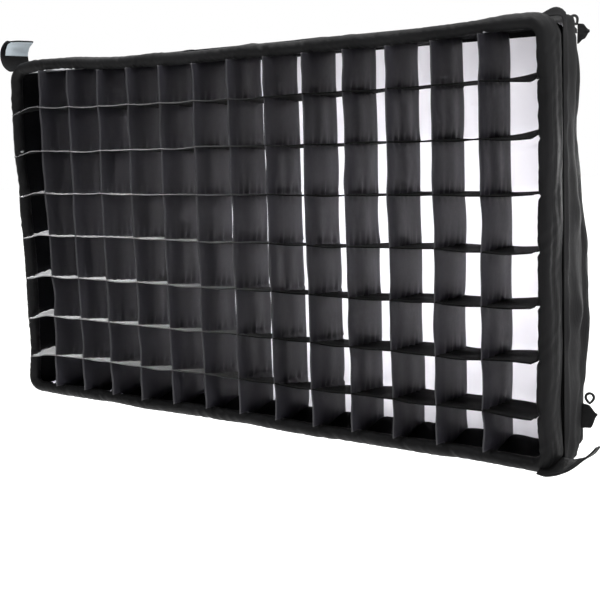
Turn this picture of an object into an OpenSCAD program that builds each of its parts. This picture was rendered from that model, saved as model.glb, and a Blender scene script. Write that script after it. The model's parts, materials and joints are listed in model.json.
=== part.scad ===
// Collapsible fabric egg-crate light grid with its soft skirt, for a panel lamp.
// X runs across the face, Z is up and the face looks along -Y.
// The origin is the middle of the rear opening, on the plane of the rear hem.

/* [Grid] */
// Side of one square cell
cell = 75; // [72:1:78]
// Number of cells across
columns = 14; // [14:2:14]
// Number of cells down
rows = 8; // [8:2:8]
// Depth of the slats from front to back
slat_depth = 86; // [82:1:88]
// Thickness of a slat, two layers of cloth stitched together
slat_thick = 1.2; // [0.8:0.1:1.6]
// How much wider the outermost columns are than the others
edge_gain = 9; // [7:1:10]
// How much lower the outermost rows are than the others
edge_loss = 6; // [5:1:7]

/* [Frame] */
// Outer radius of the sewn sleeve around the frame rod
sleeve_r = 10; // [9.5:0.5:10.5]
// Distance of the sleeve's centre line behind the front of the slats
sleeve_setback = 21; // [20:1:22]
// Radius of the rounded frame corners, at the rod's centre line
corner_r = 20; // [18:1:30]
// Outer radius of the frame rod
rod_r = 4.5; // [4.3:0.1:4.8]
// Radius of the elastic cord inside the rods
shock_cord_r = 1.2; // [1:0.1:1.3]

/* [Skirt] */
// Distance from the front of the slats to the rear hem
total_depth = 166; // [162:1:172]
// How much narrower the skirt is at the back, on each side
taper_x = 27; // [24:1:28]
// How much lower the skirt is at the back, above and below
taper_z = 10; // [6:1:12]
// Thickness of the cloth of the skirt and the border
cloth = 1.5; // [1.2:0.1:1.6]
// Width of the black edge sewn round the white diffusion cloth
diffuser_edge = 22; // [16:1:30]
// Width of the webbing sewn round the rear opening
hem_w = 12; // [10:1:16]

/* [Tabs] */
// Thickness of the pull tabs
tab_thick = 2.5; // [2:0.1:2.6]
// Radius of the curl of the upper tab
curl_r = 28; // [24:1:30]
// Reach of the lower tab, out from its seam
lower_reach = 55; // [45:1:56]
// Length of the lower corner straps, out from their seams
strap_l = 24; // [20:1:26]
// Length of the upper corner straps, out from their seams
upper_strap_l = 12; // [10:1:16]

/* [Hidden] */
$fn = 48;
eps = 0.2;
clear = 0.5;

y_front = -total_depth;
y_slat_back = y_front + slat_depth;
y_sleeve = y_front + sleeve_setback;
// half sizes of the border, measured to its inner faces
wall_x = columns * cell / 2 + edge_gain;
wall_z = rows * cell / 2 - edge_loss;
// half sizes of the rod's centre line
sleeve_out = 2.5;
rod_x = wall_x + sleeve_out;
rod_z = wall_z + sleeve_out;
run_x = rod_x - corner_r;
run_z = rod_z - corner_r;
sleeve_wall = 1.4;
facing_back = y_front + 49;

// skirt, from its front edge to the rear hem
y_skirt = y_front + 50;
hem_d = 8;
y_hem = -hem_d;
skirt_gap = 2.5;
skirt_x = rod_x + sleeve_r + skirt_gap;
skirt_z = rod_z + sleeve_r + skirt_gap;
rear_x = skirt_x - taper_x;
rear_z = skirt_z - taper_z;
function along(y) = (y - y_skirt) / (y_hem - y_skirt);
function skirt_x_at(y) = skirt_x - taper_x * along(y);
function skirt_z_at(y) = skirt_z - taper_z * along(y);

// fastening tapes between the grid and the skirt
tape_t = 1;
y_tape = y_front + 56;
tape_w = 22;
tape_gap = 0.7;
loop_x = wall_x + cloth + tape_t + tape_gap;
loop_z = wall_z + cloth + tape_t + tape_gap;

// diffusion cloth
y_diffuser = y_slat_back + 10;
diffuser_t = 0.6;
diffuser_x = skirt_x_at(y_diffuser + 2) - cloth - clear;
diffuser_z = skirt_z_at(y_diffuser + 2) - cloth - clear;

// frame tubes
tube_wall = 1.4;
spigot_r = rod_r - tube_wall - 0.1;
spigot_bore = 1.8;
spigot_l = 25;
ferrule_l = 70;

// rear straps: flap heights, and where each elastic loop sits from its flap's seam and middle
strap_t = 2;
strap_y = y_hem - 6;
strap_x = skirt_x_at(strap_y) + 3;
elastic_r = 1.6;
lower_strap_h = 36;
lower_strap_z = -rear_z + 49;
lower_loop = [12, 28];
lower_loop_r = 8;
upper_strap_h = 30;
upper_strap_z = rear_z - 9;
upper_loop = [-12, 21];
upper_loop_r = 6.5;

// pull tabs: their seams lie just outside the rounded corners of the sleeve
seam_x = run_x + (corner_r + sleeve_r + tab_thick) / sqrt(2);
seam_z = run_z + (corner_r + sleeve_r + tab_thick) / sqrt(2);
tab_y0 = y_front + 4;
tab_root_y1 = y_front + 48;
upper_tab_y1 = y_front + 67;
lower_tab_y1 = y_front + 64;
curl_in = 11;
curl_x = -seam_x + curl_in;
curl_z = seam_z + sqrt(pow(curl_r, 2) - pow(curl_in, 2));
curl_start = 180 + acos(curl_in / curl_r);
curl_end = 100;
label_t = 0.5;
tab_clear = 20;
lower_r = 62;

function num(i) = str(i < 10 ? "0" : "", i);

// ---- helpers ----

// One mitred side of a four-sided ring of cloth that runs along Y.
// Each end has an outer half size and an inner one; side is top, bottom, left or right.
module ring_side(side, y0, out0, in0, y1, out1, in1) {
    flat = side == "top" || side == "bottom";
    s = side == "top" || side == "right" ? 1 : -1;
    function corner(h, e, y) = flat
        ? [e * (h[0] - eps), y, s * h[1]]
        : [s * h[0], y, e * (h[1] - eps)];
    pts = [corner(out0, -1, y0), corner(out0, 1, y0), corner(in0, 1, y0), corner(in0, -1, y0),
           corner(out1, -1, y1), corner(out1, 1, y1), corner(in1, 1, y1), corner(in1, -1, y1)];
    faces = [[0, 1, 2, 3], [7, 6, 5, 4], [4, 5, 1, 0], [5, 6, 2, 1], [6, 7, 3, 2], [7, 4, 0, 3]];
    turned = [for (f = faces) [f[3], f[2], f[1], f[0]]];
    polyhedron(pts, (side == "top" || side == "left") ? turned : faces);
}

// A sheet bent round an axis along Y, between two angles of the XZ plane.
module bent_sheet(x, z, y0, y1, r, t, from, sweep) {
    translate([x, y1, z]) rotate([90, 0, 0]) rotate([0, 0, from])
        rotate_extrude(angle = sweep) translate([r - t / 2, 0]) square([t, y1 - y0]);
}

// Four quarter rings at the corners of the frame, from a section drawn at radius x.
module at_corners() {
    for (sx = [-1, 1], sz = [-1, 1])
        translate([sx * run_x, 0, sz * run_z])
            rotate([90, 0, 0]) rotate([0, 0, (sx > 0 ? (sz > 0 ? 0 : 270) : (sz > 0 ? 90 : 180))])
                rotate_extrude(angle = 90) children();
}

// ---- skirt ----

module skirt(side) {
    color("#1b1b1d") ring_side(side,
        y_skirt, [skirt_x, skirt_z], [skirt_x - cloth, skirt_z - cloth],
        y_hem - clear, [rear_x, rear_z], [rear_x - cloth, rear_z - cloth]);
}

module rear_hem() {
    color("#141415") for (s = [-1, 1]) {
        translate([-rear_x, y_hem, s > 0 ? rear_z - hem_w : -rear_z])
            cube([2 * rear_x, hem_d, hem_w]);
        translate([s > 0 ? rear_x - hem_w : -rear_x, y_hem, -rear_z + hem_w + eps])
            cube([hem_w, hem_d, 2 * (rear_z - hem_w - eps)]);
    }
}

module diffusion_cloth() {
    color("#f4f4f6") translate([-diffuser_x, y_diffuser, -diffuser_z])
        cube([2 * diffuser_x, diffuser_t, 2 * diffuser_z]);
}

module diffuser_edging() {
    inner = [diffuser_x - diffuser_edge, diffuser_z - diffuser_edge];
    y0 = y_diffuser - tape_t - eps;
    color("#161617") for (side = ["top", "bottom", "left", "right"])
        ring_side(side, y0, [diffuser_x, diffuser_z], inner,
            y0 + tape_t, [diffuser_x, diffuser_z], inner);
}

// the soft half of the fastening, carried by the front hem
module loop_tape() {
    inner = [loop_x, loop_z];
    outer = inner + [tape_t, tape_t];
    color("#101011") for (side = ["top", "bottom", "left", "right"])
        ring_side(side, y_tape, outer, inner, y_tape + tape_w, outer, inner);
}

// folded and padded hem inside the front edge of the skirt
module front_hem() {
    inner = [loop_x, loop_z] + [tape_t + eps, tape_t + eps];
    y1 = y_tape + tape_w;
    gap = cloth + eps;
    color("#161618") for (side = ["top", "bottom", "left", "right"])
        ring_side(side, y_tape, [skirt_x_at(y_tape) - gap, skirt_z_at(y_tape) - gap], inner,
            y1, [skirt_x_at(y1) - gap, skirt_z_at(y1) - gap], inner);
}

// ---- rear corner straps ----

// a pointed flap of webbing that swings about its seam
module strap_flap(sx, z, h, l) {
    color("#1d1d1f") translate([sx * strap_x, strap_y + strap_t / 2, z]) rotate([90, 0, 0])
        linear_extrude(strap_t)
            polygon([[0, -h / 2], [sx * l * 0.55, -h / 2],
                [sx * l, h / 9], [sx * l * 0.4, h / 2], [0, h / 2]]);
}

// a loop of elastic cord beside the flap
module elastic_loop(sx, z, place, r) {
    color("#242426") translate([sx * (strap_x + place[0]), strap_y, z + place[1]])
        rotate([90, 0, 0]) rotate_extrude() translate([r, 0]) circle(elastic_r);
}

// ---- border of the grid ----

module border_flat(s) {
    color("#131314") translate([-run_x + eps, y_sleeve + sleeve_r + eps, s > 0 ? wall_z : -wall_z - cloth])
        cube([2 * (run_x - eps), slat_depth - sleeve_setback - sleeve_r + 1, cloth]);
}

module border_upright(s) {
    color("#131314") translate([s > 0 ? wall_x : -wall_x - cloth, y_sleeve + sleeve_r + eps, -run_z + eps])
        cube([cloth, slat_depth - sleeve_setback - sleeve_r + 1, 2 * (run_z - eps)]);
}

module border_corners() {
    y1 = y_slat_back + 1;
    color("#131314") translate([0, y1, 0]) at_corners()
        translate([corner_r - sleeve_out, eps])
            square([cloth, y1 - y_sleeve - sleeve_r - 2 * eps]);
}

// section of the rod sleeve: a tube, with a facing that runs back from its outer side
module sleeve_section() {
    difference() {
        union() {
            circle(sleeve_r);
            translate([sleeve_r - sleeve_wall, -(facing_back - y_sleeve)])
                square([sleeve_wall, facing_back - y_sleeve]);
        }
        circle(sleeve_r - sleeve_wall);
    }
}

module sleeve_side(turn, run, out) {
    color("#2c2c2e") rotate([0, turn, 0]) translate([out, y_sleeve, -run + eps])
        linear_extrude(2 * (run - eps)) mirror([0, 1]) sleeve_section();
}

module sleeve_corners() {
    color("#2c2c2e") translate([0, y_sleeve, 0]) at_corners()
        translate([corner_r, 0]) sleeve_section();
}

// ---- frame inside the sleeve ----

module tube(r, bore, l) {
    difference() {
        cylinder(r = r, h = l);
        translate([0, 0, -1]) cylinder(r = bore, h = l + 2);
    }
}

module rod_long(sx, sz) {
    color("#8d9196") translate([sx * eps, y_sleeve, sz * rod_z]) rotate([0, sx * 90, 0])
        tube(rod_r, rod_r - tube_wall, run_x - 2 * eps);
}

module rod_short(sx) {
    color("#8d9196") translate([sx * rod_x, y_sleeve, -run_z + eps])
        tube(rod_r, rod_r - tube_wall, 2 * (run_z - eps));
}

module rod_ferrules() {
    color("#b4b8bc") for (sz = [-1, 1])
        translate([-ferrule_l / 2, y_sleeve, sz * rod_z]) rotate([0, 90, 0])
            tube(spigot_r, spigot_bore, ferrule_l);
}

module corner_elbows() {
    color("#303236") translate([0, y_sleeve, 0]) {
        at_corners() translate([corner_r, 0]) difference() {
            circle(rod_r);
            circle(spigot_bore);
        }
        for (sx = [-1, 1], sz = [-1, 1]) {
            translate([sx * run_x, 0, sz * rod_z]) rotate([0, -sx * 90, 0])
                tube(spigot_r, spigot_bore, spigot_l);
            translate([sx * rod_x, 0, sz * run_z]) rotate([sz > 0 ? 180 : 0, 0, 0])
                tube(spigot_r, spigot_bore, spigot_l);
        }
    }
}

module shock_cord() {
    color("#c8452f") translate([0, y_sleeve, 0]) {
        at_corners() translate([corner_r, 0]) circle(shock_cord_r);
        for (s = [-1, 1]) {
            translate([-run_x, 0, s * rod_z]) rotate([0, 90, 0])
                cylinder(r = shock_cord_r, h = 2 * run_x);
            translate([s * rod_x, 0, -run_z]) cylinder(r = shock_cord_r, h = 2 * run_z);
        }
    }
}

// the hooked half of the fastening, on the outside of the border
module hook_tape() {
    x = wall_x + cloth;
    z = wall_z + cloth;
    color("#0e0e0f") for (s = [-1, 1]) {
        translate([-run_x, y_tape, s > 0 ? z + eps / 2 : -z - tape_t - eps / 2])
            cube([2 * run_x, tape_w, tape_t]);
        translate([s > 0 ? x + eps / 2 : -x - tape_t - eps / 2, y_tape, -run_z])
            cube([tape_t, tape_w, 2 * run_z]);
    }
}

// ---- slats ----

// Outline of a slat: u runs from front to back, v along it, with tongues behind the sleeve.
module slat_outline(half) {
    notch = sleeve_r - sleeve_out + 1;
    y1 = y_sleeve + sleeve_r + 1;
    end = half - 0.3;
    polygon([[y_front, -half + notch], [y1, -half + notch], [y1, -end],
        [y_slat_back, -end], [y_slat_back, end], [y1, end],
        [y1, half - notch], [y_front, half - notch]]);
}

slot_w = slat_thick + 0.5;
slot_d = slat_depth / 2 + eps;

module upright_slat(i) {
    color("#1f1f22") translate([(i - columns / 2) * cell - slat_thick / 2, 0, 0])
        rotate([90, 0, 90]) linear_extrude(slat_thick) difference() {
            slat_outline(wall_z);
            for (j = [1 : rows - 1])
                translate([y_front - 1, (rows / 2 - j) * cell - slot_w / 2])
                    square([slot_d + 1, slot_w]);
        }
}

module cross_slat(j) {
    color("#1f1f22") translate([0, 0, (rows / 2 - j) * cell - slat_thick / 2])
        linear_extrude(slat_thick) mirror([1, 0]) rotate(90) difference() {
            slat_outline(wall_x);
            for (i = [1 : columns - 1])
                translate([y_slat_back - slot_d, (i - columns / 2) * cell - slot_w / 2])
                    square([slot_d + 1, slot_w]);
        }
}

// ---- pull tabs ----

// stands on the upper left corner and curls over inwards, with its root cut away near the skirt
module pull_tab_upper() {
    color("#18181a") difference() {
        bent_sheet(curl_x, curl_z, tab_y0, upper_tab_y1, curl_r, tab_thick,
            curl_end, curl_start - curl_end);
        translate([curl_x - 2 * curl_r, tab_root_y1, curl_z - 2 * curl_r])
            cube([4 * curl_r, upper_tab_y1 - tab_root_y1 + 1, 2 * curl_r - 17]);
    }
}

module tab_label() {
    color("#aeb8c0") bent_sheet(curl_x, curl_z, tab_y0 + 9, upper_tab_y1 - 1,
        curl_r - tab_thick / 2 - label_t / 2 - 0.05, label_t, curl_end + 3, 74);
}

// reaches out from the lower right corner and curls upwards, and is cut away near the skirt
module pull_tab_lower() {
    color("#232326") difference() {
        bent_sheet(seam_x, -seam_z + lower_r, tab_y0, lower_tab_y1, lower_r, tab_thick,
            270, asin(lower_reach / lower_r));
        translate([seam_x - tab_clear, tab_root_y1, -seam_z - tab_clear])
            cube([2 * tab_clear, lower_tab_y1 - tab_root_y1 + 1, 2 * tab_clear]);
    }
}

skirt("top");  // skirt_top
skirt("bottom");  // skirt_bottom
skirt("left");  // skirt_left
skirt("right");  // skirt_right
diffusion_cloth();
diffuser_edging();
loop_tape();
front_hem();
rear_hem();
strap_flap(-1, upper_strap_z, upper_strap_h, upper_strap_l);  // strap_flap_upper_left
strap_flap(1, upper_strap_z, upper_strap_h, upper_strap_l);  // strap_flap_upper_right
strap_flap(-1, lower_strap_z, lower_strap_h, strap_l);  // strap_flap_lower_left
strap_flap(1, lower_strap_z, lower_strap_h, strap_l);  // strap_flap_lower_right
elastic_loop(-1, upper_strap_z, upper_loop, upper_loop_r);  // elastic_loop_upper_left
elastic_loop(1, upper_strap_z, upper_loop, upper_loop_r);  // elastic_loop_upper_right
elastic_loop(-1, lower_strap_z, lower_loop, lower_loop_r);  // elastic_loop_lower_left
elastic_loop(1, lower_strap_z, lower_loop, lower_loop_r);  // elastic_loop_lower_right
border_flat(1);  // border_top
border_flat(-1);  // border_bottom
border_upright(-1);  // border_left
border_upright(1);  // border_right
border_corners();
sleeve_side(-90, run_x, rod_z);  // sleeve_top
sleeve_side(90, run_x, rod_z);  // sleeve_bottom
sleeve_side(180, run_z, rod_x);  // sleeve_left
sleeve_side(0, run_z, rod_x);  // sleeve_right
sleeve_corners();
rod_long(-1, 1);  // rod_top_left
rod_long(1, 1);  // rod_top_right
rod_long(-1, -1);  // rod_bottom_left
rod_long(1, -1);  // rod_bottom_right
rod_short(-1);  // rod_left
rod_short(1);  // rod_right
rod_ferrules();
corner_elbows();
shock_cord();
hook_tape();
pull_tab_upper();
tab_label();
pull_tab_lower();
for (i = [1 : columns - 1])
    upright_slat(i);
for (j = [1 : rows - 1])
    cross_slat(j);
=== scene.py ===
"""Collapsible fabric light grid on a soft skirt: the looks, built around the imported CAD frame.

Everything is in metres in the frame of the CAD model: X across the face, Z up, the face looks along -Y.
"""
import json
import math

import bpy
import numpy as np
from mathutils import Matrix, Vector

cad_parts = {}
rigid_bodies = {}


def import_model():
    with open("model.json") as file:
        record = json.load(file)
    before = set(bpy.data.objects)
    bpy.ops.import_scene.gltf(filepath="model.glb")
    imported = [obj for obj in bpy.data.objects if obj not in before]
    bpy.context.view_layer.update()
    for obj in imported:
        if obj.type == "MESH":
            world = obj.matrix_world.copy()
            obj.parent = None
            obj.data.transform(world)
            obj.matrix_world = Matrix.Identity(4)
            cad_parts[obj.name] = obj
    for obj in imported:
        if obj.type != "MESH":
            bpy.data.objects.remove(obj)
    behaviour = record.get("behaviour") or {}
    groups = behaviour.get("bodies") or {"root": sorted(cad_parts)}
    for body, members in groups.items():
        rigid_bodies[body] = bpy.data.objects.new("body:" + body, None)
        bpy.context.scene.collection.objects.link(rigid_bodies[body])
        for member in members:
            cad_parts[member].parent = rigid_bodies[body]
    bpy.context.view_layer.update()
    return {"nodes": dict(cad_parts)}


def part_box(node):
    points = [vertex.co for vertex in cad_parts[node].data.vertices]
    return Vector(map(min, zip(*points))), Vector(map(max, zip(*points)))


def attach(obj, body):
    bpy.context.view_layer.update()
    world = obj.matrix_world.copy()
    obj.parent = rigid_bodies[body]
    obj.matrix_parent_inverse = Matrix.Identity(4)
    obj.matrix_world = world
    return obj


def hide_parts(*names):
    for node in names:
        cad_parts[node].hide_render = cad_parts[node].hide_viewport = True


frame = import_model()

MM = 0.001

# ---------------------------------------------------------------- sizes, from the frame

slat_lo, slat_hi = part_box("upright_slat_01")
FRONT, BACK = slat_lo.y, slat_hi.y
DEPTH = BACK - FRONT
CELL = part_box("upright_slat_02")[0].x - slat_lo.x
COLUMNS, ROWS = 14, 8
WALL_X, WALL_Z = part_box("border_right")[0].x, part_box("border_top")[0].z
sleeve_lo, sleeve_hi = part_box("sleeve_right")
SLEEVE_R = (sleeve_hi.x - sleeve_lo.x) / 2
SLEEVE_Y = sleeve_lo.y + SLEEVE_R
FACING_BACK = sleeve_hi.y
ROD_X = sleeve_hi.x - SLEEVE_R
ROD_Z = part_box("sleeve_top")[1].z - SLEEVE_R
CORNER_R = ROD_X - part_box("sleeve_top")[1].x
# where the two pull tabs are sewn on, at a rod sleeve's corner
SEAM_X, SEAM_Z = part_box("pull_tab_lower")[0].x, -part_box("pull_tab_lower")[0].z
skirt_lo, skirt_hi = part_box("skirt_right")
SKIRT_X, SKIRT_Z = skirt_hi.x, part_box("skirt_top")[1].z
SKIRT_FRONT, SKIRT_BACK = skirt_lo.y, skirt_hi.y
hem_lo, hem_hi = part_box("rear_hem")
REAR_X, REAR_Z, HEM_D = hem_hi.x, hem_hi.z, hem_hi.y - hem_lo.y
HEM_W = 12 * MM
diffuser_lo, diffuser_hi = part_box("diffusion_cloth")

# ---------------------------------------------------------------- small tools


class Ripples:
    """Smooth noise over two coordinates in metres, a seeded sum of sine waves with an rms of 1."""

    def __init__(self, seed, shortest, longest, stretch=(1, 1), count=12):
        r = np.random.default_rng(seed)
        length, angle = r.uniform(shortest, longest, count), r.uniform(0, 2 * np.pi, count)
        self.k = 2 * np.pi / length * np.cos(angle) / stretch[0]
        self.m = 2 * np.pi / length * np.sin(angle) / stretch[1]
        self.phase = r.uniform(0, 2 * np.pi, count)

    def __call__(self, s, t):
        s, t = np.broadcast_arrays(np.asarray(s, float), np.asarray(t, float))
        waves = np.sin(s[..., None] * self.k + t[..., None] * self.m + self.phase)
        return waves.sum(-1) * math.sqrt(2 / len(self.phase))


def smooth(t):
    """0 below 0, 1 above 1, and an S curve between."""
    t = np.clip(t, 0, 1)
    return t * t * (3 - 2 * t)


def curve(t, knots):
    """A smooth curve through a few (place, value) knots."""
    at, value = np.array(knots, float).T
    i = np.clip(np.searchsorted(at, t, side="right") - 1, 0, len(at) - 2)
    return value[i] + (value[i + 1] - value[i]) * smooth((t - at[i]) / (at[i + 1] - at[i]))


def mesh_object(name, verts, faces, material, body):
    mesh = bpy.data.meshes.new(name)
    mesh.from_pydata(np.asarray(verts).tolist(), [], faces)
    mesh.validate()
    mesh.polygons.foreach_set("use_smooth", [True] * len(mesh.polygons))
    obj = bpy.data.objects.new(name, mesh)
    bpy.context.scene.collection.objects.link(obj)
    obj.data.materials.append(material)
    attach(obj, body)
    return obj


def grid_faces(rows, cols, first=0, ring=False, flip=False):
    """Quads of a grid of points numbered row by row from first."""
    i, j = np.meshgrid(np.arange(rows - 1), np.arange(cols if ring else cols - 1), indexing="ij")
    k = (j + 1) % cols
    quads = np.stack([i * cols + j, (i + 1) * cols + j, (i + 1) * cols + k, i * cols + k], -1)
    quads = quads.reshape(-1, 4) + first
    return quads[:, ::-1] if flip else quads


def normals(mid, ring):
    """Unit normals of a grid of points."""
    du = np.gradient(mid, axis=0)
    dv = (np.roll(mid, -1, 1) - np.roll(mid, 1, 1)) if ring else np.gradient(mid, axis=1)
    n = np.cross(du, dv)
    return n / np.maximum(np.linalg.norm(n, axis=-1, keepdims=True), 1e-12)


def cloth(name, mid, half, material, body, ring=False):
    """A closed sheet of cloth round a grid of middle points, with a half thickness each or one for all."""
    rows, cols = mid.shape[:2]
    n = normals(mid, ring) * np.broadcast_to(half, (rows, cols))[..., None]
    verts = np.concatenate([(mid + n).reshape(-1, 3), (mid - n).reshape(-1, 3)])
    other = rows * cols
    faces = [grid_faces(rows, cols, 0, ring, True), grid_faces(rows, cols, other, ring)]
    along = np.arange(cols if ring else cols - 1)
    after = (along + 1) % cols
    last = (rows - 1) * cols
    faces.append(np.stack([along, along + other, after + other, after], -1))
    faces.append(np.stack([along, after, after + other, along + other], -1) + last)
    if not ring:
        down = np.arange(rows - 1) * cols
        faces.append(np.stack([down, down + cols, down + cols + other, down + other], -1))
        faces.append(np.stack([down, down + other, down + cols + other, down + cols], -1) + cols - 1)
    return mesh_object(name, verts, np.concatenate(faces).tolist(), material, body)


def round_rect(hx, hz, r, step):
    """Points and outward directions of a rounded rectangle in the XZ plane, and the length along it.
    It starts in the middle of the top and goes towards +X."""
    lengths = [hx - r, math.pi / 2 * r, 2 * (hz - r), math.pi / 2 * r, 2 * (hx - r),
               math.pi / 2 * r, 2 * (hz - r), math.pi / 2 * r, hx - r]
    total = sum(lengths)
    s = np.arange(0, total, total / round(total / step))
    p, n = np.zeros((len(s), 2)), np.zeros((len(s), 2))
    start, turn, at = 0.0, 90.0, np.array([0.0, hz])
    for k, length in enumerate(lengths):
        here = (s >= start) & (s < start + length)
        d = s[here] - start
        if k % 2 == 0:
            a = math.radians(turn)
            n[here] = [math.cos(a), math.sin(a)]
            ahead = np.array([math.sin(a), -math.cos(a)])
            p[here] = at + d[:, None] * ahead
            at = at + length * ahead
        else:
            a = np.radians(turn) - d / r
            middle = at - r * np.array([math.cos(math.radians(turn)), math.sin(math.radians(turn))])
            n[here] = np.stack([np.cos(a), np.sin(a)], -1)
            p[here] = middle + r * n[here]
            turn -= 90
            at = middle + r * np.array([math.cos(math.radians(turn)), math.sin(math.radians(turn))])
        start += length
    return p, n, s


def ring_grid(hx, hz, r, section, step, wobble=None):
    """A grid of points: section, a list of (outwards, y) points, carried round a rounded rectangle.
    wobble(s, c, x, z) gives how far each point moves along the section's own normal."""
    p, n, s = round_rect(hx, hz, r, step)
    sec = np.array(section, float)
    c = np.concatenate([[0], np.cumsum(np.linalg.norm(np.diff(sec, axis=0), axis=1))])
    d = np.gradient(sec, axis=0)
    d /= np.linalg.norm(d, axis=1, keepdims=True)
    sec_n = np.stack([d[:, 1], -d[:, 0]], -1)
    out = np.repeat(sec[:, :1], len(s), 1)
    y = np.repeat(sec[:, 1:], len(s), 1)
    if wobble is not None:
        w = wobble(s[None, :], c[:, None], p[None, :, 0], p[None, :, 1])
        out = out + w * sec_n[:, :1]
        y = y + w * sec_n[:, 1:]
    return np.stack([p[None, :, 0] + n[None, :, 0] * out, y, p[None, :, 1] + n[None, :, 1] * out], -1)


def resample(points, step):
    """The same open line with points about step apart."""
    points = np.array(points, float)
    along = np.concatenate([[0], np.cumsum(np.linalg.norm(np.diff(points, axis=0), axis=1))])
    at = np.linspace(0, along[-1], max(2, round(along[-1] / step) + 1))
    return np.stack([np.interp(at, along, points[:, k]) for k in range(points.shape[1])], -1)


# ---------------------------------------------------------------- materials


def node_tree(name):
    material = bpy.data.materials.new(name)
    material.use_nodes = True
    tree = material.node_tree
    return material, tree, tree.nodes["Principled BSDF"]


def add(tree, kind, **sockets):
    node = tree.nodes.new(kind)
    for key, value in sockets.items():
        node.inputs[key.replace("_", " ")].default_value = value
    return node


def maths(tree, operation, a, b=None):
    node = tree.nodes.new("ShaderNodeMath")
    node.operation = operation
    for socket, value in zip(node.inputs, (a, b)):
        if value is None:
            continue
        if isinstance(value, (int, float)):
            socket.default_value = value
        else:
            tree.links.new(value, socket)
    return node.outputs[0]


def weave_height(tree, place, thread):
    """A woven surface of any direction: the sum of one wave along each axis."""
    split = tree.nodes.new("ShaderNodeSeparateXYZ")
    tree.links.new(place, split.inputs[0])
    total = None
    for axis in split.outputs:
        wave = maths(tree, "SINE", maths(tree, "MULTIPLY", axis, 2 * math.pi / thread))
        total = wave if total is None else maths(tree, "ADD", total, wave)
    return total


def cloth_material(name, dark, light, rough, thread, weave=0.25, creases=0.35, sheen=0.0,
                   patch=6.0, specular=0.5, through=0.0):
    """Woven cloth. dark and light are the two colours that it varies between, thread its weave's pitch."""
    material, tree, shader = node_tree(name)
    place = tree.nodes.new("ShaderNodeTexCoord").outputs["Object"]
    patches = add(tree, "ShaderNodeTexNoise", Scale=patch, Detail=4.0, Roughness=0.55)
    tree.links.new(place, patches.inputs["Vector"])
    ramp = tree.nodes.new("ShaderNodeValToRGB")
    ramp.color_ramp.elements[0].position, ramp.color_ramp.elements[1].position = 0.32, 0.7
    ramp.color_ramp.elements[0].color = (*dark, 1)
    ramp.color_ramp.elements[1].color = (*light, 1)
    tree.links.new(patches.outputs["Fac"], ramp.inputs["Fac"])
    tree.links.new(ramp.outputs["Color"], shader.inputs["Base Color"])
    fine = add(tree, "ShaderNodeTexNoise", Scale=140.0, Detail=3.0, Roughness=0.6)
    tree.links.new(place, fine.inputs["Vector"])
    spread = add(tree, "ShaderNodeMapRange", To_Min=rough - 0.06, To_Max=rough + 0.08)
    tree.links.new(fine.outputs["Fac"], spread.inputs["Value"])
    tree.links.new(spread.outputs["Result"], shader.inputs["Roughness"])
    weave_bump = add(tree, "ShaderNodeBump", Strength=weave, Distance=thread * 0.35)
    tree.links.new(weave_height(tree, place, thread), weave_bump.inputs["Height"])
    crease_noise = add(tree, "ShaderNodeTexNoise", Scale=38.0, Detail=5.0, Roughness=0.5)
    tree.links.new(place, crease_noise.inputs["Vector"])
    crease_bump = add(tree, "ShaderNodeBump", Strength=creases, Distance=2 * MM)
    tree.links.new(crease_noise.outputs["Fac"], crease_bump.inputs["Height"])
    tree.links.new(weave_bump.outputs["Normal"], crease_bump.inputs["Normal"])
    tree.links.new(crease_bump.outputs["Normal"], shader.inputs["Normal"])
    shader.inputs["Specular IOR Level"].default_value = specular
    shader.inputs["Sheen Weight"].default_value = sheen
    shader.inputs["Sheen Roughness"].default_value = 0.4
    if through:
        glow = add(tree, "ShaderNodeBsdfTranslucent", Color=(*light, 1))
        tree.links.new(crease_bump.outputs["Normal"], glow.inputs["Normal"])
        mix = add(tree, "ShaderNodeMixShader", Fac=through)
        tree.links.new(shader.outputs[0], mix.inputs[1])
        tree.links.new(glow.outputs[0], mix.inputs[2])
        tree.links.new(mix.outputs[0], tree.nodes["Material Output"].inputs["Surface"])
    return material


def metal_material(name, color, rough):
    """Drawn tube: brushed along its length."""
    material, tree, shader = node_tree(name)
    place = tree.nodes.new("ShaderNodeTexCoord").outputs["Object"]
    stretch = add(tree, "ShaderNodeMapping", Scale=(40.0, 900.0, 900.0))
    tree.links.new(place, stretch.inputs["Vector"])
    lines = add(tree, "ShaderNodeTexNoise", Scale=1.0, Detail=3.0)
    tree.links.new(stretch.outputs["Vector"], lines.inputs["Vector"])
    spread = add(tree, "ShaderNodeMapRange", To_Min=rough - 0.08, To_Max=rough + 0.1)
    tree.links.new(lines.outputs["Fac"], spread.inputs["Value"])
    tree.links.new(spread.outputs["Result"], shader.inputs["Roughness"])
    bump = add(tree, "ShaderNodeBump", Strength=0.15, Distance=0.1 * MM)
    tree.links.new(lines.outputs["Fac"], bump.inputs["Height"])
    tree.links.new(bump.outputs["Normal"], shader.inputs["Normal"])
    shader.inputs["Base Color"].default_value = (*color, 1)
    shader.inputs["Metallic"].default_value = 1.0
    return material


def plastic_material(name, color, rough, grain=500.0):
    """Moulded plastic with a fine grain."""
    material, tree, shader = node_tree(name)
    place = tree.nodes.new("ShaderNodeTexCoord").outputs["Object"]
    noise = add(tree, "ShaderNodeTexNoise", Scale=grain, Detail=2.0)
    tree.links.new(place, noise.inputs["Vector"])
    bump = add(tree, "ShaderNodeBump", Strength=0.2, Distance=0.1 * MM)
    tree.links.new(noise.outputs["Fac"], bump.inputs["Height"])
    tree.links.new(bump.outputs["Normal"], shader.inputs["Normal"])
    spread = add(tree, "ShaderNodeMapRange", To_Min=rough - 0.05, To_Max=rough + 0.07)
    tree.links.new(noise.outputs["Fac"], spread.inputs["Value"])
    tree.links.new(spread.outputs["Result"], shader.inputs["Roughness"])
    shader.inputs["Base Color"].default_value = (*color, 1)
    return material


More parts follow.
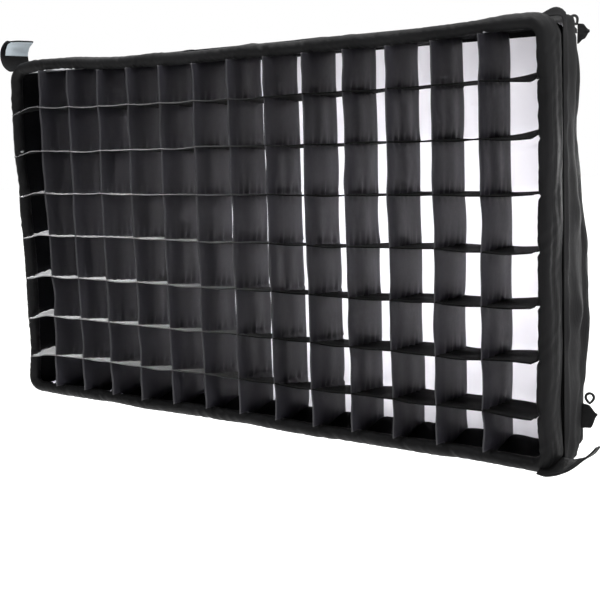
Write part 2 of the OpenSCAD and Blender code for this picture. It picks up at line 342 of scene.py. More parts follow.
SLAT = cloth_material("slat_nylon", (0.0035, 0.0032, 0.0055), (0.009, 0.0082, 0.0135), 0.5, 0.9 * MM,
                      weave=0.12, creases=0.2, sheen=0.01, specular=0.5)
# The same nylon as the upright slats, with darker base colours and less shine: painted shade that keeps the
# cross slats' top faces dark.
SHADED_CROSS = cloth_material("cross_slat_nylon_painted_shade", (0.003, 0.003, 0.0031), (0.0055, 0.0055, 0.0057), 0.65, 0.9 * MM,
                       weave=0.12, creases=0.2, sheen=0.015, specular=0.02)
SLEEVE = cloth_material("sleeve_nylon", (0.004, 0.004, 0.0043), (0.009, 0.009, 0.0096), 0.5, 1.0 * MM,
                        weave=0.2, creases=0.35, sheen=0.01, specular=0.09)
BORDER = cloth_material("border_nylon", (0.005, 0.005, 0.006), (0.009, 0.009, 0.010), 0.5, 1.0 * MM,
                        weave=0.2, creases=0.4, sheen=0.0, specular=0.01)
SKIRT = cloth_material("skirt_nylon", (0.0115, 0.0115, 0.012), (0.021, 0.021, 0.0215), 0.78, 1.2 * MM,
                       weave=0.3, creases=0.4, sheen=0.01, specular=0.02)
WEBBING = cloth_material("black_webbing", (0.006, 0.006, 0.0065), (0.012, 0.012, 0.0125), 0.62, 1.8 * MM,
                         weave=0.6, creases=0.15, sheen=0.02, specular=0.15)
PILE = cloth_material("hook_and_loop", (0.004, 0.004, 0.0045), (0.009, 0.009, 0.0095), 0.85, 1.1 * MM,
                      weave=0.9, creases=0.9, sheen=0.15, patch=60.0, specular=0.2)
DIFFUSER = cloth_material("diffusion_cloth", (0.915, 0.905, 0.93), (0.945, 0.935, 0.96), 0.75, 0.8 * MM,
                          weave=0.1, creases=0.2, through=0.35)
LABEL = cloth_material("woven_label", (0.48, 0.55, 0.60), (0.59, 0.66, 0.71), 0.5, 0.6 * MM,
                       weave=0.35, creases=0.2, sheen=0.05, patch=25.0, specular=0.3)
ELASTIC = cloth_material("braided_elastic", (0.006, 0.006, 0.0065), (0.014, 0.014, 0.0145), 0.6, 0.9 * MM,
                         weave=0.8, creases=0.1, specular=0.3)
ALLOY = metal_material("satin_alloy", (0.60, 0.61, 0.63), 0.35)
ELBOW = plastic_material("elbow_plastic", (0.035, 0.035, 0.038), 0.5)
SHOCK = cloth_material("shock_cord_braid", (0.35, 0.05, 0.03), (0.55, 0.09, 0.05), 0.65, 0.8 * MM,
                       weave=0.8, creases=0.1, patch=80.0)

# ---------------------------------------------------------------- how the cloth hangs in its frame

# how far the top and bottom of the border stand above or below their straight lines, across X
TOP_BOW = [(-0.55, 0.003), (-0.47, 0.008), (-0.2, 0.0), (0.1, -0.002), (0.35, 0.001), (0.5, 0.005),
           (0.55, 0.003)]
BOTTOM_BOW = [(-0.55, 0.004), (-0.4, 0.005), (0.0, 0.004), (0.4, 0.005), (0.55, 0.003)]
# how far the left side stands inwards, up Z
LEFT_BOW = [(-0.31, -0.003), (-0.22, 0.004), (-0.06, 0.008), (0.06, 0.002), (0.15, -0.004), (0.31, 0.0)]
RIGHT_BOW = [(-0.31, 0.0), (-0.1, 0.001), (0.16, -0.002), (0.31, 0.0)]
drift_x = Ripples(11, 0.16, 0.5)
drift_z = Ripples(12, 0.16, 0.5)


def settle(points):
    """Moves points of the grid from their straight CAD places to where the stretched cloth sits."""
    x, z = points[..., 0], points[..., 2]
    out = points.copy()
    up, down = smooth((z / WALL_Z - 0.5) * 2), smooth((-z / WALL_Z - 0.5) * 2)
    left, right = smooth((-x / WALL_X - 0.7) / 0.3), smooth((x / WALL_X - 0.7) / 0.3)
    out[..., 2] += up * curve(x, TOP_BOW) + down * curve(x, BOTTOM_BOW) + 0.9 * MM * drift_z(x, z)
    out[..., 0] += left * curve(z, LEFT_BOW) - right * curve(z, RIGHT_BOW) + 0.7 * MM * drift_x(x, z)
    return out


# half the thickness of a slat, and the width of the hem folded at its long edges
SLAT_HALF, SLAT_HEM = 0.35 * MM, 8 * MM
# how far the border leans inwards from its front to the back of the slats
LEAN_TOP, LEAN_BOTTOM, LEAN_SIDE = 2 * MM, 14 * MM, 4 * MM
SLEEVE_INTO_CELL = SLEEVE_R - (ROD_X - WALL_X)


def slat_end(a, wall, lean):
    """Where a slat ends at depth a (0 front, 1 back): behind the sleeve it runs on to the border."""
    behind = smooth((a - 0.24) / 0.16)
    return wall - (SLEEVE_INTO_CELL + 0.5 * MM) * (1 - behind) - lean * smooth((a - 0.3) / 0.7)


def stretch_ends(place, nominal_end, low_end, high_end):
    """Squeezes the last cells so that a coordinate ends at low_end or high_end in place of nominal_end."""
    inner = nominal_end - CELL * 0.92
    over = np.clip((np.abs(place) - inner) / (nominal_end - inner), 0, 1)
    end = np.where(place < 0, low_end, high_end)
    return np.where(np.abs(place) > inner, np.sign(place) * (inner + over * (end - inner)), place)


def hem_half(a, thick):
    """Half thickness across a slat: a folded hem along the front edge with a stitched groove behind it."""
    d = a * DEPTH
    fold = thick + (SLAT_HALF - thick) * smooth((d - SLAT_HEM) / (1.5 * MM))
    groove = 0.45 * SLAT_HALF * np.exp(-(((d - SLAT_HEM + 1.2 * MM) / (0.7 * MM)) ** 2))
    return fold - groove


def panel_shape(rng, a, t, length, foot, head):
    """Sideways displacement over one panel of a slat between two crossings.
    a is depth 0 to 1, t runs 0 to 1 along the slat, foot and head are the puckers' heights at t 0 and 1."""
    free = np.sin(np.pi * t)
    bulge = rng.normal(0, 0.8 * MM) * free
    d0, d1 = t * length, (1 - t) * length
    folds = 0
    for k in (0.8, 1.5, 2.4):
        wander = 0.12 * np.sin(2 * np.pi * (t * rng.uniform(0.3, 0.8) + rng.random()))
        height = rng.normal(0, 0.45 * MM / k**0.5)
        folds = folds + height * np.sin(2 * np.pi * (a * k + rng.random()) + wander)
    teeth = 0
    for k in (5, 7.5, 10):
        reach0, reach1 = rng.uniform(5, 10) * MM, rng.uniform(4, 7) * MM
        wave = np.sin(2 * np.pi * (a * (k + rng.uniform(-0.8, 0.8)) + rng.random()))
        teeth = teeth + wave * (foot * np.exp(-d0 / reach0) + head * np.exp(-d1 / reach1)) / (k / 5) ** 0.5
    return bulge + folds * free**0.6 + teeth * smooth(a / 0.12)


# ---------------------------------------------------------------- slats

# how many millimetres the right end of each cross slat rises at its front and its back edge, top one first
RIGHT_FRONT = (-4, 0, 3, 1, 0, 0, -3)
RIGHT_BACK = (13, 16, 4, 4, 5, 0, -4)
# points of a slat's mesh along one cell, and from its front to its back
PER_CELL, ACROSS = 22, 25
edge_noise = Ripples(21, 0.03, 0.12)


def upright_slat(i):
    name = f"upright_slat_{i:02d}"
    lo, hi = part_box(name)
    x0, rng = (lo.x + hi.x) / 2, np.random.default_rng(100 + i)
    a = np.linspace(0, 1, ACROSS)[:, None]
    z = np.linspace(-ROWS / 2 * CELL, ROWS / 2 * CELL, ROWS * PER_CELL + 1)[None, :]
    cell = np.minimum((z[0] / CELL + ROWS / 2).astype(int), ROWS - 1)
    t = z / CELL + ROWS / 2 - cell
    dx = np.zeros((len(a), z.shape[1]))
    for j in range(ROWS):
        here = cell == j
        dx[:, here] = panel_shape(rng, a, t[:, here], CELL, 1.1 * MM, 0.6 * MM)
    dx += 2.6 * MM * np.sin(np.pi * a) * np.sin(np.pi * t) ** 0.5
    near_wall = np.minimum(1, (ROWS / 2 * CELL - np.abs(z)) / (10 * MM))
    low_end, high_end = slat_end(a, WALL_Z, LEAN_BOTTOM), slat_end(a, WALL_Z, LEAN_TOP)
    height = stretch_ends(np.repeat(z, len(a), 0), ROWS / 2 * CELL, low_end, high_end)
    y = FRONT + DEPTH * a + 0.8 * MM * edge_noise(z + i, 0) * (1 - a) + 0 * z
    mid = settle(np.stack([x0 + dx * near_wall, y, height], -1))
    piece = cloth(name + "_cloth", mid, hem_half(a, 0.5 * MM), SLAT, "grid")
    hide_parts(name)
    return piece


def cross_slat(j):
    name = f"cross_slat_{j}"
    lo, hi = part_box(name)
    z0, rng = (lo.z + hi.z) / 2, np.random.default_rng(200 + j)
    a = np.linspace(0, 1, ACROSS)[:, None]
    x = np.linspace(-COLUMNS / 2 * CELL, COLUMNS / 2 * CELL, COLUMNS * PER_CELL + 1)[None, :]
    cell = np.minimum((x[0] / CELL + COLUMNS / 2).astype(int), COLUMNS - 1)
    t = x / CELL + COLUMNS / 2 - cell
    dz = np.zeros((len(a), x.shape[1]))
    for k in range(COLUMNS):
        here = cell == k
        dz[:, here] = 0.8 * panel_shape(rng, a, t[:, here], CELL, 0.7 * MM, 0.7 * MM)
    dz -= 1.2 * MM * np.sin(np.pi * t) * (1 - a)
    # the left ends droop at the front and rise at the back, and the right ends differ from row to row
    left = smooth((-x / (COLUMNS / 2 * CELL) - 0.90) / 0.10)
    right = smooth((x / (COLUMNS / 2 * CELL) - 0.82) / 0.18)
    dz += left * (4 * MM * a - 9 * MM * (1 - a))
    dz += right * (RIGHT_FRONT[j - 1] * (1 - a) + RIGHT_BACK[j - 1] * a) * MM
    # towards the left the back edge sags, the most in the lowest rows
    sag = 7 * MM + 6 * MM * smooth((j - 4) / 3)
    dz -= sag * a * smooth((0.35 - x) / 0.3) * (1 - left)
    end = slat_end(a, WALL_X, LEAN_SIDE)
    across = stretch_ends(np.repeat(x, len(a), 0), COLUMNS / 2 * CELL, end, end)
    y = FRONT + DEPTH * a + 0.8 * MM * edge_noise(x + 3 * j, 0) * (1 - a)
    mid = settle(np.stack([across, y, z0 + dz], -1))
    mid = mid[:, ::-1]
    piece = cloth(name + "_cloth", mid, hem_half(a, 0.9 * MM), SHADED_CROSS, "grid")
    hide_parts(name)
    return piece


# ---------------------------------------------------------------- border, sleeve and fastening

sleeve_broad = Ripples(31, 0.09, 0.3)
sleeve_gather = Ripples(32, 0.014, 0.05, stretch=(1, 2.5), count=18)
wall_folds = Ripples(33, 0.02, 0.09, stretch=(1, 3.0), count=16)


def stitch_lines(x, z, width=3 * MM):
    """1 where a slat is sewn to the border, falling to 0 within a few millimetres."""
    near_side = np.abs(x) > WALL_X - CORNER_R
    row = np.abs(z / CELL - np.round(z / CELL)) * CELL
    column = np.abs(x / CELL - np.round(x / CELL)) * CELL
    d = np.where(near_side, row, column)
    on_cell = np.where(near_side, np.abs(z) < WALL_Z - CELL / 2, np.abs(x) < WALL_X - CELL / 2)
    return np.exp(-((d / width) ** 2)) * on_cell


def rod_sleeve():
    """The sewn sleeve: from the border round the rod, and back along the outside as a facing."""
    turn = np.radians(np.linspace(170, 345, 28))
    around = [(SLEEVE_R * math.cos(t), SLEEVE_Y + SLEEVE_R * math.sin(t)) for t in turn]
    section = [(-5 * MM, SLEEVE_Y + 9 * MM), (-8.5 * MM, SLEEVE_Y + 6 * MM)] + around + [
        (SLEEVE_R + 1.2 * MM, SLEEVE_Y + 8 * MM), (SLEEVE_R + 1.8 * MM, SLEEVE_Y + 16 * MM),
        (SLEEVE_R + 1.4 * MM, FACING_BACK - 3 * MM), (SLEEVE_R - 0.5 * MM, FACING_BACK),
        (SLEEVE_R - 6 * MM, FACING_BACK - 1 * MM)]
    section = resample(section, 2.0 * MM)

    def wobble(s, c, x, z):
        front = np.exp(-(((c - 22 * MM) / (18 * MM)) ** 2))
        gathers = 0.65 * MM * sleeve_gather(s + 0.8 * c, c) * (0.35 + 0.65 * front)
        broad = 0.6 * MM * sleeve_broad(s, 3 * c)
        on_side = np.abs(x) > WALL_X - CORNER_R
        ridges = 0.3 * MM * np.sin(c / (2.4 * MM) + 2.2 * sleeve_broad(s, 0)) * on_side
        deep = np.where(on_side, 3.3 * MM, 1.5 * MM)
        notch = deep * stitch_lines(x, z, 2.6 * MM) * np.exp(-(((c - 16 * MM) / (9 * MM)) ** 2))
        return -(np.abs(gathers) + broad) - notch + ridges

    mid = settle(ring_grid(ROD_X, ROD_Z, CORNER_R, section, 2.4 * MM, wobble))
    piece = cloth("rod_sleeve", mid, 0.5 * MM, SLEEVE, "grid", ring=True)
    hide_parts("sleeve_top", "sleeve_bottom", "sleeve_left", "sleeve_right", "sleeve_corners")
    return piece


def border_wall():
    """The inner wall that the slats are sewn to. It leans inwards behind the sleeve and lies a little
    inside its straight line, so that the slats' ends leave no gap."""
    y0, y1 = SLEEVE_Y + 6 * MM, BACK + 1 * MM
    section = resample([(0, y0), (0, y1)], 3 * MM)

    def wobble(s, c, x, z):
        folds = 0.5 * MM * wall_folds(s, c) * smooth(c / (8 * MM))
        return folds + 0.8 * MM * stitch_lines(x, z) - 1 * MM

    mid = ring_grid(WALL_X, WALL_Z, CORNER_R - 3 * MM, section, 4 * MM, wobble)
    a = smooth(((mid[..., 1] - FRONT) / DEPTH - 0.3) / 0.7)
    up, side = mid[..., 2] / WALL_Z, mid[..., 0] / WALL_X
    mid[..., 2] -= a * (LEAN_TOP * smooth(up * 4 - 3) - LEAN_BOTTOM * smooth(-up * 4 - 3))
    mid[..., 0] -= a * LEAN_SIDE * side**9
    piece = cloth("border_wall", settle(mid), 0.5 * MM, BORDER, "grid", ring=True)
    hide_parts("border_top", "border_bottom", "border_left", "border_right", "border_corners")
    return piece


def tape_ring(name, node, inset, half, material, body, seed):
    """A band of tape or padding round the inside of the opening, in place of a CAD node."""
    lo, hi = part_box(node)
    wave = Ripples(seed, 0.03, 0.12)
    section = resample([(0, lo.y + 1 * MM), (0, hi.y - 1 * MM)], 3 * MM)
    mid = ring_grid(hi.x - inset, hi.z - inset, 24 * MM, section, 6 * MM,
                    lambda s, c, x, z: 0.3 * MM * wave(s, c))
    piece = cloth(name, mid, half, material, body, ring=True)
    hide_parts(node)
    return piece


# ---------------------------------------------------------------- skirt

# how far the rear edge stands out on the two sides, up Z, as the cloth is pulled in at its straps
SIDE_REAR = [(-0.31, 0.001), (-0.275, 0.0005), (-0.225, 0.001), (-0.12, 0.010), (-0.03, 0.008),
             (0.08, -0.002), (0.16, -0.009), (0.24, -0.005), (0.285, -0.009), (0.31, -0.006)]
# how far the skirt runs on inside the webbing of the rear hem
TUCK = 4 * MM
skirt_phase = Ripples(41, 0.18, 0.6)
skirt_height = Ripples(42, 0.1, 0.4)
skirt_fine = Ripples(43, 0.02, 0.07, stretch=(3.0, 1), count=16)
skirt_soft = Ripples(44, 0.03, 0.09, stretch=(1.2, 1), count=12)


# how far the cloth stands out, as a share, from the skirt's front edge (0) to its rear edge (1)
FOLDS = [(0, 0), (0.12, 0.5), (0.2, 0.25), (0.5, 1), (0.6, 0.85), (0.68, 0.1), (0.84, 0.75), (1, 0)]


def skirt():
    """Four panels as one loose ring of cloth, squeezed into folds that run round the lamp."""
    rows = 45
    front, n_front, s = round_rect(SKIRT_X, SKIRT_Z, 7 * MM, 4 * MM)
    d = np.linspace(0, 1, rows)[:, None]
    share_x, share_z = REAR_X / SKIRT_X, REAR_Z / SKIRT_Z
    x = front[None, :, 0] * (1 + (share_x - 1) * d)
    z = front[None, :, 1] * (1 + (share_z - 1) * d)
    y = SKIRT_FRONT + (SKIRT_BACK + TUCK - SKIRT_FRONT) * d + 0 * x
    side = smooth(np.abs(n_front[None, :, 0]) * 2 - 0.7)
    along = s[None, :]
    bend = d + 0.035 * skirt_phase(along, 0) * np.sin(np.pi * d)
    tall = 1 + 0.28 * skirt_height(along, 0)
    folds = curve(bend, FOLDS)
    fine = 0.5 * MM * skirt_fine(along, d * 0.11) + 0.7 * MM * skirt_soft(along, d * 0.11)
    held = smooth(d / 0.16) * smooth((1 - d) / 0.12)
    out = folds * tall * (4 * MM + 4 * MM * side) + held * fine
    # the folds run out where the two lower straps lie against the sides
    under_strap = side * np.exp(-(((z + 0.25) / (42 * MM)) ** 4)) * smooth((d - 0.35) / 0.25)
    out = out * (1 - 0.95 * under_strap)
    rear_pull = curve(z, SIDE_REAR) * side * smooth((d - 0.25) / 0.75)
    # beside each corner the cloth is creased, and on top it stands up in a peak behind the front edge
    from_side = np.abs(front[None, :, 0]) - SKIRT_X
    from_top = np.abs(front[None, :, 1]) - SKIRT_Z
    corner = np.exp(-((from_side / (30 * MM)) ** 2) - (from_top / (26 * MM)) ** 2)
    peak = np.exp(-(((from_side + 17 * MM) / (19 * MM)) ** 2) - (from_top / (9 * MM)) ** 2)
    upper = smooth(front[None, :, 1] / (0.5 * SKIRT_Z))
    lift = 10 * MM * peak * np.exp(-(((d - 0.15) / 0.35) ** 2)) * smooth(d / 0.1)
    lift = lift + 3 * MM * corner * np.sin(np.pi * d)
    creases = 1.6 * MM * corner * np.sin(2 * np.pi * (2.2 * d + along / 0.045)) * held
    out = out * (1 - 0.6 * corner) + creases - 4 * MM * corner * smooth((d - 0.5) / 0.5)
    # the last millimetres go inside the hem
    out = out - 2 * MM * smooth((d - 0.94) / 0.06)
    mid = np.stack([x + n_front[None, :, 0] * (out + rear_pull), y,
                    z + n_front[None, :, 1] * out + upper * lift], -1)
    piece = cloth("skirt_cloth", mid, 0.5 * MM, SKIRT, "softbox", ring=True)
    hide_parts("skirt_top", "skirt_bottom", "skirt_left", "skirt_right")
    return piece


def rear_hem():
    """Webbing folded round the rear edge. Its rear face stays flat."""
    w, d = HEM_W, HEM_D
    corner = 2.2 * MM
    section = []
    for cx, cy, a0 in ((-corner, -corner, 0), (-w + corner, -corner, 90), (-w + corner, -d + corner, 180),
                       (-corner, -d + corner, 270)):
        for b in (0, 30, 60, 90):
            turn = math.radians(a0 + b)
            section.append((cx + corner * math.cos(turn), cy + corner * math.sin(turn)))
    section.append(section[0])
    wave = Ripples(51, 0.04, 0.2)
    p = ring_grid(REAR_X, REAR_Z, 14 * MM, section, 6 * MM)
    mid = p[:-1].copy()
    s = np.arange(mid.shape[1]) * 6 * MM
    side = np.abs(mid[..., 0]) / REAR_X > 0.9
    mid[..., 1] = np.where(mid[..., 1] < -3 * MM, mid[..., 1] + 0.5 * MM * wave(s, 0)[None, :], mid[..., 1])
    mid[..., 0] += np.where(side, np.sign(mid[..., 0]) * curve(mid[..., 2], SIDE_REAR), 0)
    rows, cols = mid.shape[:2]
    faces = grid_faces(rows + 1, cols, 0, True, True) % (rows * cols)
    piece = mesh_object("rear_hem_band", mid.reshape(-1, 3), faces.tolist(), WEBBING, "softbox")
    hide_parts("rear_hem")
    return piece


# ---------------------------------------------------------------- diffusion cloth

diffuser_wrinkle = Ripples(61, 0.12, 0.45, count=14)
diffuser_fine = Ripples(62, 0.03, 0.1, count=16)


def diffusion():
    hx, hz = diffuser_hi.x, diffuser_hi.z
    x, z = np.meshgrid(np.linspace(-hx, hx, 181), np.linspace(-hz, hz, 103), indexing="ij")
    edge = smooth(np.minimum(hx - np.abs(x), hz - np.abs(z)) / (60 * MM))
    corner = np.exp(-(((np.abs(x) - hx) / 0.16) ** 2 + ((np.abs(z) - hz) / 0.14) ** 2))
    angle = np.arctan2(hz + 0.02 - np.abs(z), hx + 0.02 - np.abs(x))
    rays = 1.6 * MM * corner * np.sin(9 * angle + 2 * np.sign(x) + np.sign(z))
    wrinkles = 1.3 * MM * diffuser_wrinkle(x, z) + 0.25 * MM * diffuser_fine(x, z) + rays
    y = diffuser_lo.y + 1.5 * MM + edge * (wrinkles + 3 * MM)
    mid = np.stack([x, y, z], -1)
    piece = cloth("diffusion_sheet", mid, 0.25 * MM, DIFFUSER, "softbox")
    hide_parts("diffusion_cloth")
    return piece


def diffuser_edging():
    """Black tape sewn round the diffusion cloth, on its front."""
    lo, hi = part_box("diffuser_edging")
    wave = Ripples(63, 0.05, 0.2)
    section = resample([(-15 * MM, lo.y - 0.3 * MM), (-1 * MM, lo.y - 0.3 * MM)], 3 * MM)
    mid = ring_grid(hi.x, hi.z, 26 * MM, section, 8 * MM, lambda s, c, x, z: 0.4 * MM * wave(s, c))
    piece = cloth("diffuser_tape", mid, 0.5 * MM, WEBBING, "softbox", ring=True)
    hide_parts("diffuser_edging")
    return piece


# ---------------------------------------------------------------- pull tabs

tab_noise = Ripples(71, 0.03, 0.09)


def bent_tab(name, profile, width, material, body, half, skew=0.0):
    """A tab: a profile line in the XZ plane, with its width along Y given as (y0, y1) at each end."""
    line = resample(profile, 2 * MM)
    u = np.linspace(0, 1, len(line))[:, None]
    v = np.linspace(0, 1, 31)[None, :]
    y0 = curve(u[:, 0], [(k, w[0]) for k, w in width])[:, None]
    y1 = curve(u[:, 0], [(k, w[1]) for k, w in width])[:, None]
    y = y0 + (y1 - y0) * v
    d = np.gradient(line, axis=0)
    n = np.stack([-d[:, 1], d[:, 0]], -1) / np.linalg.norm(d, axis=1)[:, None]
    w = 0.7 * MM * tab_noise(u * 0.09, y) * smooth(u / 0.2)
    x = line[:, :1] + n[:, :1] * w
    z = line[:, 1:] + n[:, 1:] * w + skew * v * smooth(1 - u)
    edge = np.minimum(v, 1 - v) * np.abs(y1 - y0)
    rim = 0.35 * MM * (1 - smooth((edge - 4 * MM) / (1.5 * MM)))
    return cloth(name, np.stack([x, y, z], -1), half + rim, material, body)


def upper_tab():
    lo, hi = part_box("pull_tab_upper")
    cx, cz, r = lo.x + 27 * MM, SEAM_Z + 25.8 * MM, 27 * MM

    def arc(radius, start, end):
        turn = [math.radians(a) for a in range(start, end, -5)]
        return [(cx + radius * math.cos(a), cz + 1.05 * radius * math.sin(a)) for a in turn]

    width = [(0, (lo.y + 2 * MM, lo.y + 42 * MM)), (0.24, (lo.y, lo.y + 46 * MM)), (0.37, (lo.y, hi.y)),
             (1, (lo.y + 1 * MM, hi.y - 1 * MM))]
    piece = bent_tab("upper_pull_tab", arc(r, 260, 101), width, SLEEVE, "upper_tab",
                     0.8 * MM)
    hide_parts("pull_tab_upper")
    width = [(0, (lo.y + 9 * MM, hi.y - 2 * MM)), (1, (lo.y + 9 * MM, hi.y - 2 * MM))]
    label = bent_tab("blank_label", arc(r - 2.4 * MM, 176, 103), width, LABEL, "upper_tab",
                     0.25 * MM)
    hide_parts("tab_label")


def lower_tab():
    lo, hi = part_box("pull_tab_lower")
    r = 62 * MM
    arc = [(SEAM_X + r * math.sin(math.radians(a)), -SEAM_Z + r - r * math.cos(math.radians(a)))
           for a in range(-9, 65, 3)]
    width = [(0, (lo.y, lo.y + 43 * MM)), (0.12, (lo.y, lo.y + 43 * MM)),
             (0.34, (lo.y + 3 * MM, lo.y + 46 * MM)), (0.52, (lo.y + 12 * MM, hi.y - 5 * MM)),
             (1, (lo.y + 48 * MM, hi.y))]
    piece = bent_tab("lower_pull_tab", arc, width, SLEEVE, "lower_tab", 0.9 * MM, 15 * MM)
    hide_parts("pull_tab_lower")


# ---------------------------------------------------------------- rear straps


def rear_strap(corner):
    """A pointed webbing flap and an elastic loop at one rear corner."""
    body = "strap_" + corner
    lo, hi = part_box("strap_flap_" + corner)
    s = 1 if "right" in corner else -1
    root, tip = (lo.x, hi.x) if s > 0 else (hi.x, lo.x)
    root -= s * (6 * MM if "upper" in corner else 1 * MM)
    zc, h, y = (lo.z + hi.z) / 2, (hi.z - lo.z) / 2, (lo.y + hi.y) / 2
    u = np.linspace(0, 1, 15)[:, None]
    v = np.linspace(-1, 1, 21)[None, :]
    top = curve(u, [(0, h), (0.4, h * 0.95), (1, 5 * MM)])
    if "upper" in corner:
        bottom = curve(u, [(0, -0.85 * h), (0.5, -0.45 * h), (1, 2 * MM)])
    else:
        bottom = curve(u, [(0, -h), (0.55, -h * 0.95), (1, 3 * MM)])
    z = zc + bottom + (top - bottom) * (v + 1) / 2
    x = root + (tip - root) * u + 0 * v
    bend = y + 0.5 * MM * np.sin(5 * u + 2 * v)
    mid = np.stack([x, bend, z], -1)[:, ::s]
    flap = cloth("flap_" + corner, mid, 0.8 * MM, WEBBING, body)
    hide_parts("strap_flap_" + corner)
    lo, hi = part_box("elastic_loop_" + corner)
    cx, cz = (lo.x + hi.x) / 2, (lo.z + hi.z) / 2
    r, thick = (hi.x - lo.x) / 2 - (2.6 if "upper" in corner else 3.6) * MM, 1.9 * MM
    turn = np.linspace(0, 2 * np.pi, 48, endpoint=False)[None, :]
    tube = np.linspace(0, 2 * np.pi, 12, endpoint=False)[:, None]
    # the loop is drawn out to a point towards the middle of its flap
    point = math.atan2(zc - cz, (root + tip) / 2 - cx)
    off = np.angle(np.exp(1j * (turn - point)))
    reach = r * (1 + 0.05 * np.sin(2 * turn + 1) + 0.45 * np.exp(-np.abs(off / 0.45) ** 1.4))
    reach = reach + thick * np.cos(tube)
    points = np.stack([cx + reach * np.cos(turn), (lo.y + hi.y) / 2 + thick * np.sin(tube) + 0 * turn,
                       cz + reach * np.sin(turn)], -1)
    rows, cols = points.shape[:2]
    faces = grid_faces(rows + 1, cols, 0, True) % (rows * cols)
    loop = mesh_object("loop_" + corner, points.reshape(-1, 3), faces.tolist(), ELASTIC, body)
    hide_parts("elastic_loop_" + corner)


# ---------------------------------------------------------------- build

for i in range(1, COLUMNS):
    upright_slat(i)
for j in range(1, ROWS):
    cross_slat(j)
rod_sleeve()
border_wall()
for name, node, inset, half, material, body, slot, seed, under in (
        ("hook_band", "hook_tape", 0.5 * MM, 0.4 * MM, PILE, "grid", "hook_and_loop", 81, "border_wall"),
        ("loop_band", "loop_tape", 0.5 * MM, 0.4 * MM, PILE, "softbox", "hook_and_loop", 82,
         "front_hem_band"),
        ("front_hem_band", "front_hem", 4.5 * MM, 1.6 * MM, SKIRT, "softbox", "skirt_nylon", 83,
         "skirt_cloth")):
    tape_ring(name, node, inset, half, material, body, seed)
skirt()
rear_hem()
diffusion()
diffuser_edging()
upper_tab()
lower_tab()
for corner in ("upper_left", "upper_right", "lower_left", "lower_right"):
    rear_strap(corner)

for node, material, slot in (
        *((n, ALLOY, "rod_alloy") for n in ("rod_top_left", "rod_top_right", "rod_bottom_left",
                                            "rod_bottom_right", "rod_left", "rod_right", "rod_ferrules")),
        ("corner_elbows", ELBOW, "connector_plastic"), ("shock_cord", SHOCK, "shock_cord")):
    obj = frame["nodes"][node]
    obj.data.materials.clear()
    obj.data.materials.append(material)

# ---------------------------------------------------------------- camera, light and floor

AZIMUTH, ELEVATION, ROLL = math.radians(38.7), math.radians(7.75), math.radians(-1.9)
ahead = Vector((-math.sin(AZIMUTH) * math.cos(ELEVATION), math.cos(AZIMUTH) * math.cos(ELEVATION),
                -math.sin(ELEVATION)))
level = ahead.cross(Vector((0, 0, 1))).normalized()
upward = level.cross(ahead)
right = math.cos(ROLL) * level + math.sin(ROLL) * upward
up = math.cos(ROLL) * upward - math.sin(ROLL) * level
camera = bpy.data.objects.new("camera", bpy.data.cameras.new("camera"))
bpy.context.scene.collection.objects.link(camera)
camera.matrix_world = Matrix.Translation((1.275, FRONT - 1.425, 0.163)) @ Matrix(
    (right, up, -ahead)).transposed().to_4x4()
camera.data.lens, camera.data.sensor_width = 72.2, 36
bpy.context.scene.camera = camera


def area_light(name, place, target, size, power, color=(1, 1, 1)):
    light = bpy.data.lights.new(name, "AREA")
    light.shape, light.size, light.size_y = "RECTANGLE", size[0], size[1]
    light.energy, light.color = power, color
    obj = bpy.data.objects.new(name, light)
    bpy.context.scene.collection.objects.link(obj)
    obj.location = place
    obj.rotation_euler = (Vector(target) - Vector(place)).to_track_quat("-Z", "Y").to_euler()
    obj.visible_camera = False
    return obj


area_light("key", (-1.7, -2.4, 1.6), (0, 0, 0), (1.4, 1.2), 6)
area_light("top", (0.1, -0.5, 2.3), (0, -0.1, 0), (2.6, 1.6), 120)
area_light("right", (2.4, -0.6, 0.5), (0.5, 0, 0), (0.8, 1.6), 26)
area_light("lamp", (0.15, 0.25, -0.01), (0.15, 0, -0.01), (0.95, 0.3), 14)
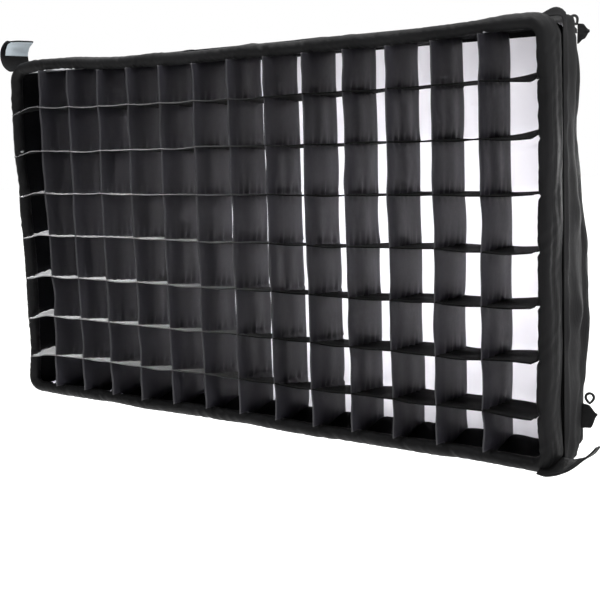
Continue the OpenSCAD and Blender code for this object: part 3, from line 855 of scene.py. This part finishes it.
# a narrow beam on the left end of the cross slats, kept off everything else
beam = area_light("beam", (0.5, -1.3, 0.85), (-0.45, -0.1, -0.08), (0.3, 0.3), 62)
beam.data.spread = math.radians(22)
receivers = bpy.data.collections.new("cross slats")
for j in range(1, ROWS):
    receivers.objects.link(bpy.data.objects[f"cross_slat_{j}_cloth"])
beam.light_linking.receiver_collection = receivers
# and one from the left on the inside of the border, which reaches the bottom of the first columns
low_beam = area_light("low beam", (-1.0, -0.9, 0.6), (-0.42, -0.1, -0.29), (0.3, 0.3), 60)
low_beam.data.spread = math.radians(25)
receivers = bpy.data.collections.new("border")
receivers.objects.link(bpy.data.objects["border_wall"])
low_beam.light_linking.receiver_collection = receivers

# a white studio behind the object, and a dim room in front of it
world = bpy.data.worlds.new("studio")
world.use_nodes = True
tree = world.node_tree
background = tree.nodes["Background"]
split = tree.nodes.new("ShaderNodeSeparateXYZ")
tree.links.new(tree.nodes.new("ShaderNodeTexCoord").outputs["Generated"], split.inputs[0])
spread = add(tree, "ShaderNodeMapRange", From_Min=-0.1, From_Max=0.35, To_Min=0.065, To_Max=1.0)
tree.links.new(split.outputs["Y"], spread.inputs["Value"])
tree.links.new(spread.outputs["Result"], background.inputs["Strength"])
background.inputs["Color"].default_value = (1, 1, 1, 1)
bpy.context.scene.world = world
bpy.context.scene.view_settings.view_transform = "Standard"

floor_mesh = bpy.data.meshes.new("floor")
FLOOR_Z, FLOOR_SIZE = -1.25, 30.0
floor_corners = [(x * FLOOR_SIZE, y * FLOOR_SIZE, FLOOR_Z) for x, y in ((-1, -1), (1, -1), (1, 1), (-1, 1))]
floor_mesh.from_pydata(floor_corners, [], [(0, 1, 2, 3)])
floor = bpy.data.objects.new("floor", floor_mesh)
bpy.context.scene.collection.objects.link(floor)
floor_material, _, floor_shader = node_tree("pale_floor")
floor_shader.inputs["Base Color"].default_value = (0.93, 0.93, 0.93, 1)
floor_shader.inputs["Roughness"].default_value = 0.8
floor_shader.inputs["Emission Color"].default_value = (1, 1, 1, 1)
floor_shader.inputs["Emission Strength"].default_value = 0.85
floor_mesh.materials.append(floor_material)
